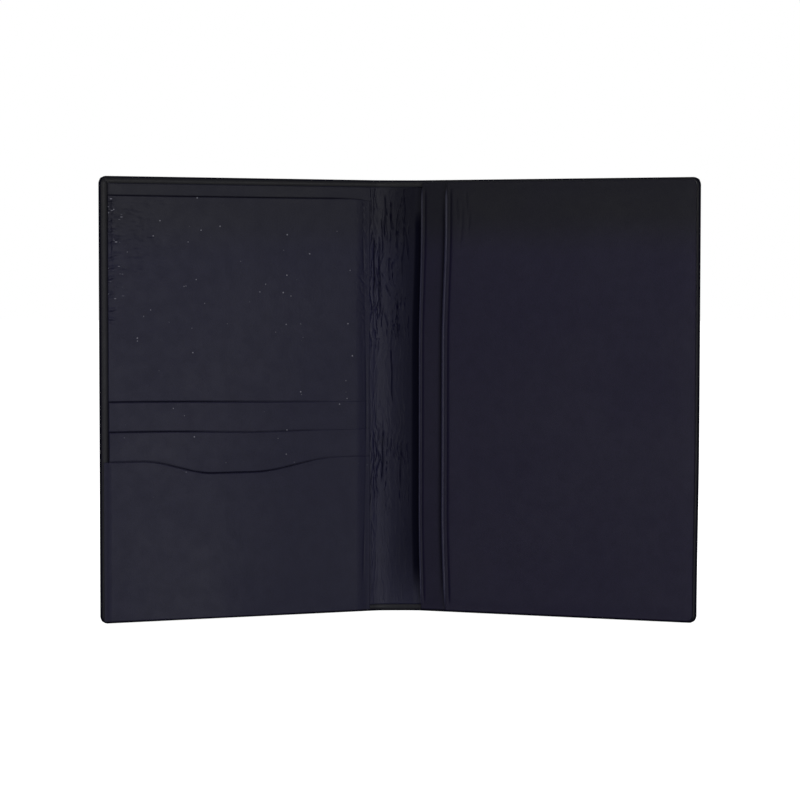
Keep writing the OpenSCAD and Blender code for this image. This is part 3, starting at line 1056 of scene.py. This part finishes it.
# %% Make the pouches
POUCH_T = 0.3
GLUED = 1.0
POUCH_WAVES = 0.03


def pouch(name, node, order):
    """The cloth sheet of one card pouch."""
    low, high = cover_span(node)
    s, z = np.meshgrid(lines(low[0], high[0], 1.6), lines(low[1], high[1], 1.6), indexing="ij")
    inset = np.minimum(np.minimum(s - low[0], high[0] - s), z - low[1])
    behind, before = stack_front(order - 1, s), stack_front(order + 1, s)
    rest = (behind + before) / 2 - 0.18
    front = rest - 0.08 * (1 - smooth(inset, GLUED, GLUED + 1.5))
    front = front + POUCH_WAVES * np.sin(s / 2.7 + np.sin(z / 5.0)) * smooth(inset, 1, 4)
    rim = np.minimum(inset, high[1] - z)
    fall = round_off(rim, POUCH_T / 2)
    piece = closed_sheet(name, (s, z, front - fall), (s, z, front - POUCH_T + fall), {})
    threads = piece.data.uv_layers.new(name="weave")
    for loop in piece.data.loops:
        point = piece.data.vertices[loop.vertex_index].co
        threads.data[loop.index].uv = (point.x / MM / THREAD, point.y / MM / THREAD)
    piece.data.materials.append(black_cotton)
    finish_on_cover(piece, -1, node)


pouch("back_card_pouch_cloth", "back_card_pouch", BACK)
pouch("middle_card_pouch_cloth", "middle_card_pouch", MIDDLE)

# %% [markdown]
# ## The sleeves
# The right cover has two sleeves, one over the other, open towards the spine. The holder's back
# page or a folded paper goes behind the first, and the passport's cover goes behind the second.
# Each is a sheet with rounded outer corners. Its open edge is moved to where use has drawn it, gets
# a pressed line, and is joined to a bead. The first sleeve is painted darker as shade, most where
# the second sleeve would shade it, and the pressed lines, creases and rims are darkened as painted
# shade.

# %% Make the sleeves
SLEEVE_T = 0.6
SLEEVE_WAVES = 0.10
CROWN = 0.14
PRESSED_LINE, PRESSED_LINE_SHADE = 0.22, 0.38
SLEEVE_BAND_SHADE, CAST_SHADOW = 0.17, 0.83
BEHIND_BEAD_SHADE = 0.28
CRINKLE, CRINKLE_SHADE = 0.06, 0.14
BEAD_HALF, BEAD_DEPTH = 0.50, 0.45
SLEEVE_CREASES = [
    ((13.2, 136.0), (13.9, 128.0), 0.4), ((15.4, 133.0), (14.6, 120.0), 0.45),
    ((16.6, 138.0), (16.9, 131.0), 0.35), ((17.9, 131.0), (17.0, 124.0), 0.4)]


def bead_on(s, z, front, z0, z1):
    """The rolled edge of a sleeve, along one column of its grid, thinned out at both ends."""
    path = np.column_stack([s, z, front - SLEEVE_T * 0.2])
    path = path[(path[:, 1] > z0 + 1.2) & (path[:, 1] < z1 - 1.8)]
    thick = smooth(path[:, 1], z0, z0 + 8) * smooth(-path[:, 1], 1.5 - z1, 5.5 - z1) * 0.9 + 0.1
    return rolled_edge(path, thick, BEAD_HALF, BEAD_DEPTH, bead_leather_painted_highlight)


def sleeve(which, under, line_at, seed):
    """A full-height sleeve. under is the depth it is glued down to along its closed edges, and
    line_at how far past the open edge its pressed line lies."""
    low, high = cover_span(which + "_sleeve")
    s0, s1, z0, z1, full = SPINE_HALF + FIRST_U[which], high[0], low[1], high[1], high[2]
    corner = CORNER_R - (EDGE_S - s1)
    shaded_at = SPINE_HALF + FIRST_U["passport"]
    s_lines = lines(s0, s1, 1.7, extra=[*np.arange(s0 + 0.15, s0 + 4, 0.15),
                                        *np.arange(shaded_at - 3.6, shaded_at + 10, 0.25)])
    grid_s, grid_z = np.meshgrid(s_lines, lines(z0, z1, 1.7), indexing="ij")
    low_half = grid_z < TOP_Z / 2
    a, b, inset = round_corner(s1 - grid_s, np.where(low_half, grid_z - z0, z1 - grid_z), corner)
    s, z = s1 - a, np.where(low_half, z0 + b, z1 - b)
    past = grid_s - s0
    s = s - DRAWN[which] * pulled(z) * smooth(-past, -14, 0)
    front = full - CROWN + CROWN * smooth(inset, 0.4, 4.5)
    line = groove(past - line_at, 0.45) * smooth(inset, 1.5, 5)
    waves = SLEEVE_WAVES * soft_waves(s, z, seed) * smooth(inset, 2, 14) * smooth(past, 1, 9)
    front = front + waves - PRESSED_LINE * line
    fall = round_off(np.minimum(inset, past), SLEEVE_T / 2)
    # Painted shade in the pressed line and along the rounded rim.
    ink_and_shade = np.maximum(PRESSED_LINE_SHADE * line, 0.5 * (1 - smooth(inset, 0.0, 0.35)))
    if which == "document":
        before = s - SPINE_HALF - bead_u("passport", z)
        # Painted shade over the whole first sleeve, and a painted shadow where the second sleeve's edge
        # would shade it.
        cast = 0.85 * smooth(before, -2.4, -0.6) * smooth(inset, 0.5, 14)
        ink_and_shade = np.maximum(ink_and_shade, SLEEVE_BAND_SHADE + CAST_SHADOW * cast)
    else:
        # Painted shade in the groove behind the bead and in the crinkles.
        behind_bead = smooth(inset, 1, 4) * (1 - smooth(past, 0.8, 3.2))
        crinkled = deep_creases(s - SPINE_HALF, z, SLEEVE_CREASES)
        front = front - CRINKLE * crinkled
        ink_and_shade = np.maximum(np.maximum(ink_and_shade, BEHIND_BEAD_SHADE * behind_bead), CRINKLE_SHADE * crinkled)
    back = np.minimum(front - SLEEVE_T, under + (front - SLEEVE_T - under) * smooth(inset, 1.5, 3.0))
    back = np.minimum(back + fall, front - fall)
    name = which + "_sleeve_leather"
    piece = closed_sheet(name, (s, z, front - fall), (s, z, back), {"edge": ink_and_shade})
    piece.data.materials.append(sleeve_leather)
    i = int(np.argmin(np.abs(s_lines - s0 - 0.35)))
    join(piece, bead_on((s - past)[i], z[i], front[i], z0, z1))
    finish_on_cover(piece, 1, which + "_sleeve")


sleeve("document", COVER_FRONT, 1.15, 2)
sleeve("passport", COVER_FRONT + SLEEVE_T, 1.35, 5)

# %% [markdown]
# ## Floor, light and camera
# The holder stands on a pale floor in a white studio. The floor glows a little, so that it melts
# into the background and keeps only a trace of a shadow. A soft box above picks out the top edges,
# and two panels low down in front give the covers their sheen, the right one a little more than the
# left. Two large boxes behind light the back, for whoever walks round it. Dark leather shows what
# it reflects, so the rest of the room is kept dim for everything but the camera.

# %% Make the floor and the room
FLOOR_HALF = 6.0


def pale_floor():
    """A wide floor that the camera sees, and that the holder neither reflects nor is lit by."""
    material = bpy.data.materials.new("pale_floor")
    material.use_nodes = True
    tree = Tree(material.node_tree)
    matt = tree.node("ShaderNodeBsdfDiffuse", sockets={"Color": (0.9, 0.9, 0.9, 1)})
    glow = tree.node("ShaderNodeEmission", sockets={"Color": (1, 1, 1, 1), "Strength": 0.93})
    both = tree.node("ShaderNodeAddShader", sockets={0: matt, 1: glow})
    tree.node("ShaderNodeOutputMaterial", sockets={"Surface": both})
    corners = [(x * FLOOR_HALF, y * FLOOR_HALF, 0) for x, y in ((-1, -1), (1, -1), (1, 1), (-1, 1))]
    mesh = bpy.data.meshes.new("floor")
    mesh.from_pydata(corners, [], [(0, 1, 2, 3)])
    mesh.materials.append(material)
    floor = bpy.data.objects.new("floor", mesh)
    bpy.context.scene.collection.objects.link(floor)
    floor.visible_diffuse = floor.visible_glossy = floor.visible_shadow = False


def white_room(fill, gloss):
    """A world that is white to the camera, fill to matt surfaces and gloss to shiny ones."""
    world = bpy.data.worlds.new("white_room")
    bpy.context.scene.world = world
    world.use_nodes = True
    tree = Tree(world.node_tree)
    camera_ray = tree.node("ShaderNodeLightPath", output="Is Camera Ray")
    glossy_ray = Wire(tree, camera_ray.socket.node.outputs["Is Glossy Ray"])
    strength = fill + camera_ray * (1 - fill) - glossy_ray * (fill - gloss)
    glow = tree.node("ShaderNodeBackground", sockets={"Color": (1, 1, 1, 1), "Strength": strength})
    tree.node("ShaderNodeOutputWorld", sockets={"Surface": glow})
    world.cycles.sampling_method = "NONE"


pale_floor()
white_room(0.31, 0.04)
print("floor and room made")

# %% Place the lights
CENTRE = Vector((0, 0, TOP_Z / 2 / MM))


def panel_light(name, azimuth, elevation, distance, size, power):
    """A square soft light that faces the holder, its angles in degrees, its distance and size in
    metres and its power in watts. Azimuth 0 is in front, positive to the right."""
    turn, rise = math.radians(azimuth), math.radians(elevation)
    towards = Vector((math.sin(turn) * math.cos(rise), -math.cos(turn) * math.cos(rise),
                      math.sin(rise)))
    light = bpy.data.lights.new(name, "AREA")
    light.size, light.energy = size, power
    lamp = bpy.data.objects.new(name, light)
    bpy.context.scene.collection.objects.link(lamp)
    lamp.location = CENTRE + towards * distance
    lamp.rotation_mode = "QUATERNION"
    lamp.rotation_quaternion = (-towards).to_track_quat("-Z", "Y")
    lamp.visible_camera = False


panel_light("top_box", -20, 62, 1.1, 0.6, 1.5)
panel_light("right_panel", 24, -3, 1.3, 0.7, 2.6)
panel_light("left_panel", -24, -3, 1.3, 0.7, 1.5)
panel_light("back_left_box", -128, 35, 1.3, 0.9, 3.0)
panel_light("back_right_box", 128, 25, 1.3, 0.9, 3.0)
print("lights around", [round(x, 3) for x in CENTRE])

# %% [markdown]
# The camera stands about 0.8 m in front, a little above the middle, and looks down on it slightly.
# So the covers' outer edges, which are nearer, look a little taller than the spine.

# %% Set the camera
TARGET = Vector((0.00023, 0, 0.07058))
DISTANCE = 0.8157
AZIMUTH, ELEVATION, ROLL = math.radians(0.97), math.radians(2.72), math.radians(0.07)
LENS, SENSOR = 113.7, 36
ahead = Vector((math.sin(AZIMUTH) * math.cos(ELEVATION), math.cos(AZIMUTH) * math.cos(ELEVATION),
                -math.sin(ELEVATION)))
lens = bpy.data.cameras.new("camera")
lens.lens, lens.sensor_width = LENS, SENSOR
camera = bpy.data.objects.new("camera", lens)
bpy.context.scene.collection.objects.link(camera)
turned = ahead.to_track_quat("-Z", "Y").to_matrix() @ Matrix.Rotation(ROLL, 3, "Z")
camera.matrix_world = Matrix.Translation(TARGET - ahead * DISTANCE) @ turned.to_4x4()
bpy.context.scene.camera = camera
bpy.context.scene.view_settings.view_transform = "Standard"
print("camera at", [round(x, 4) for x in camera.location])
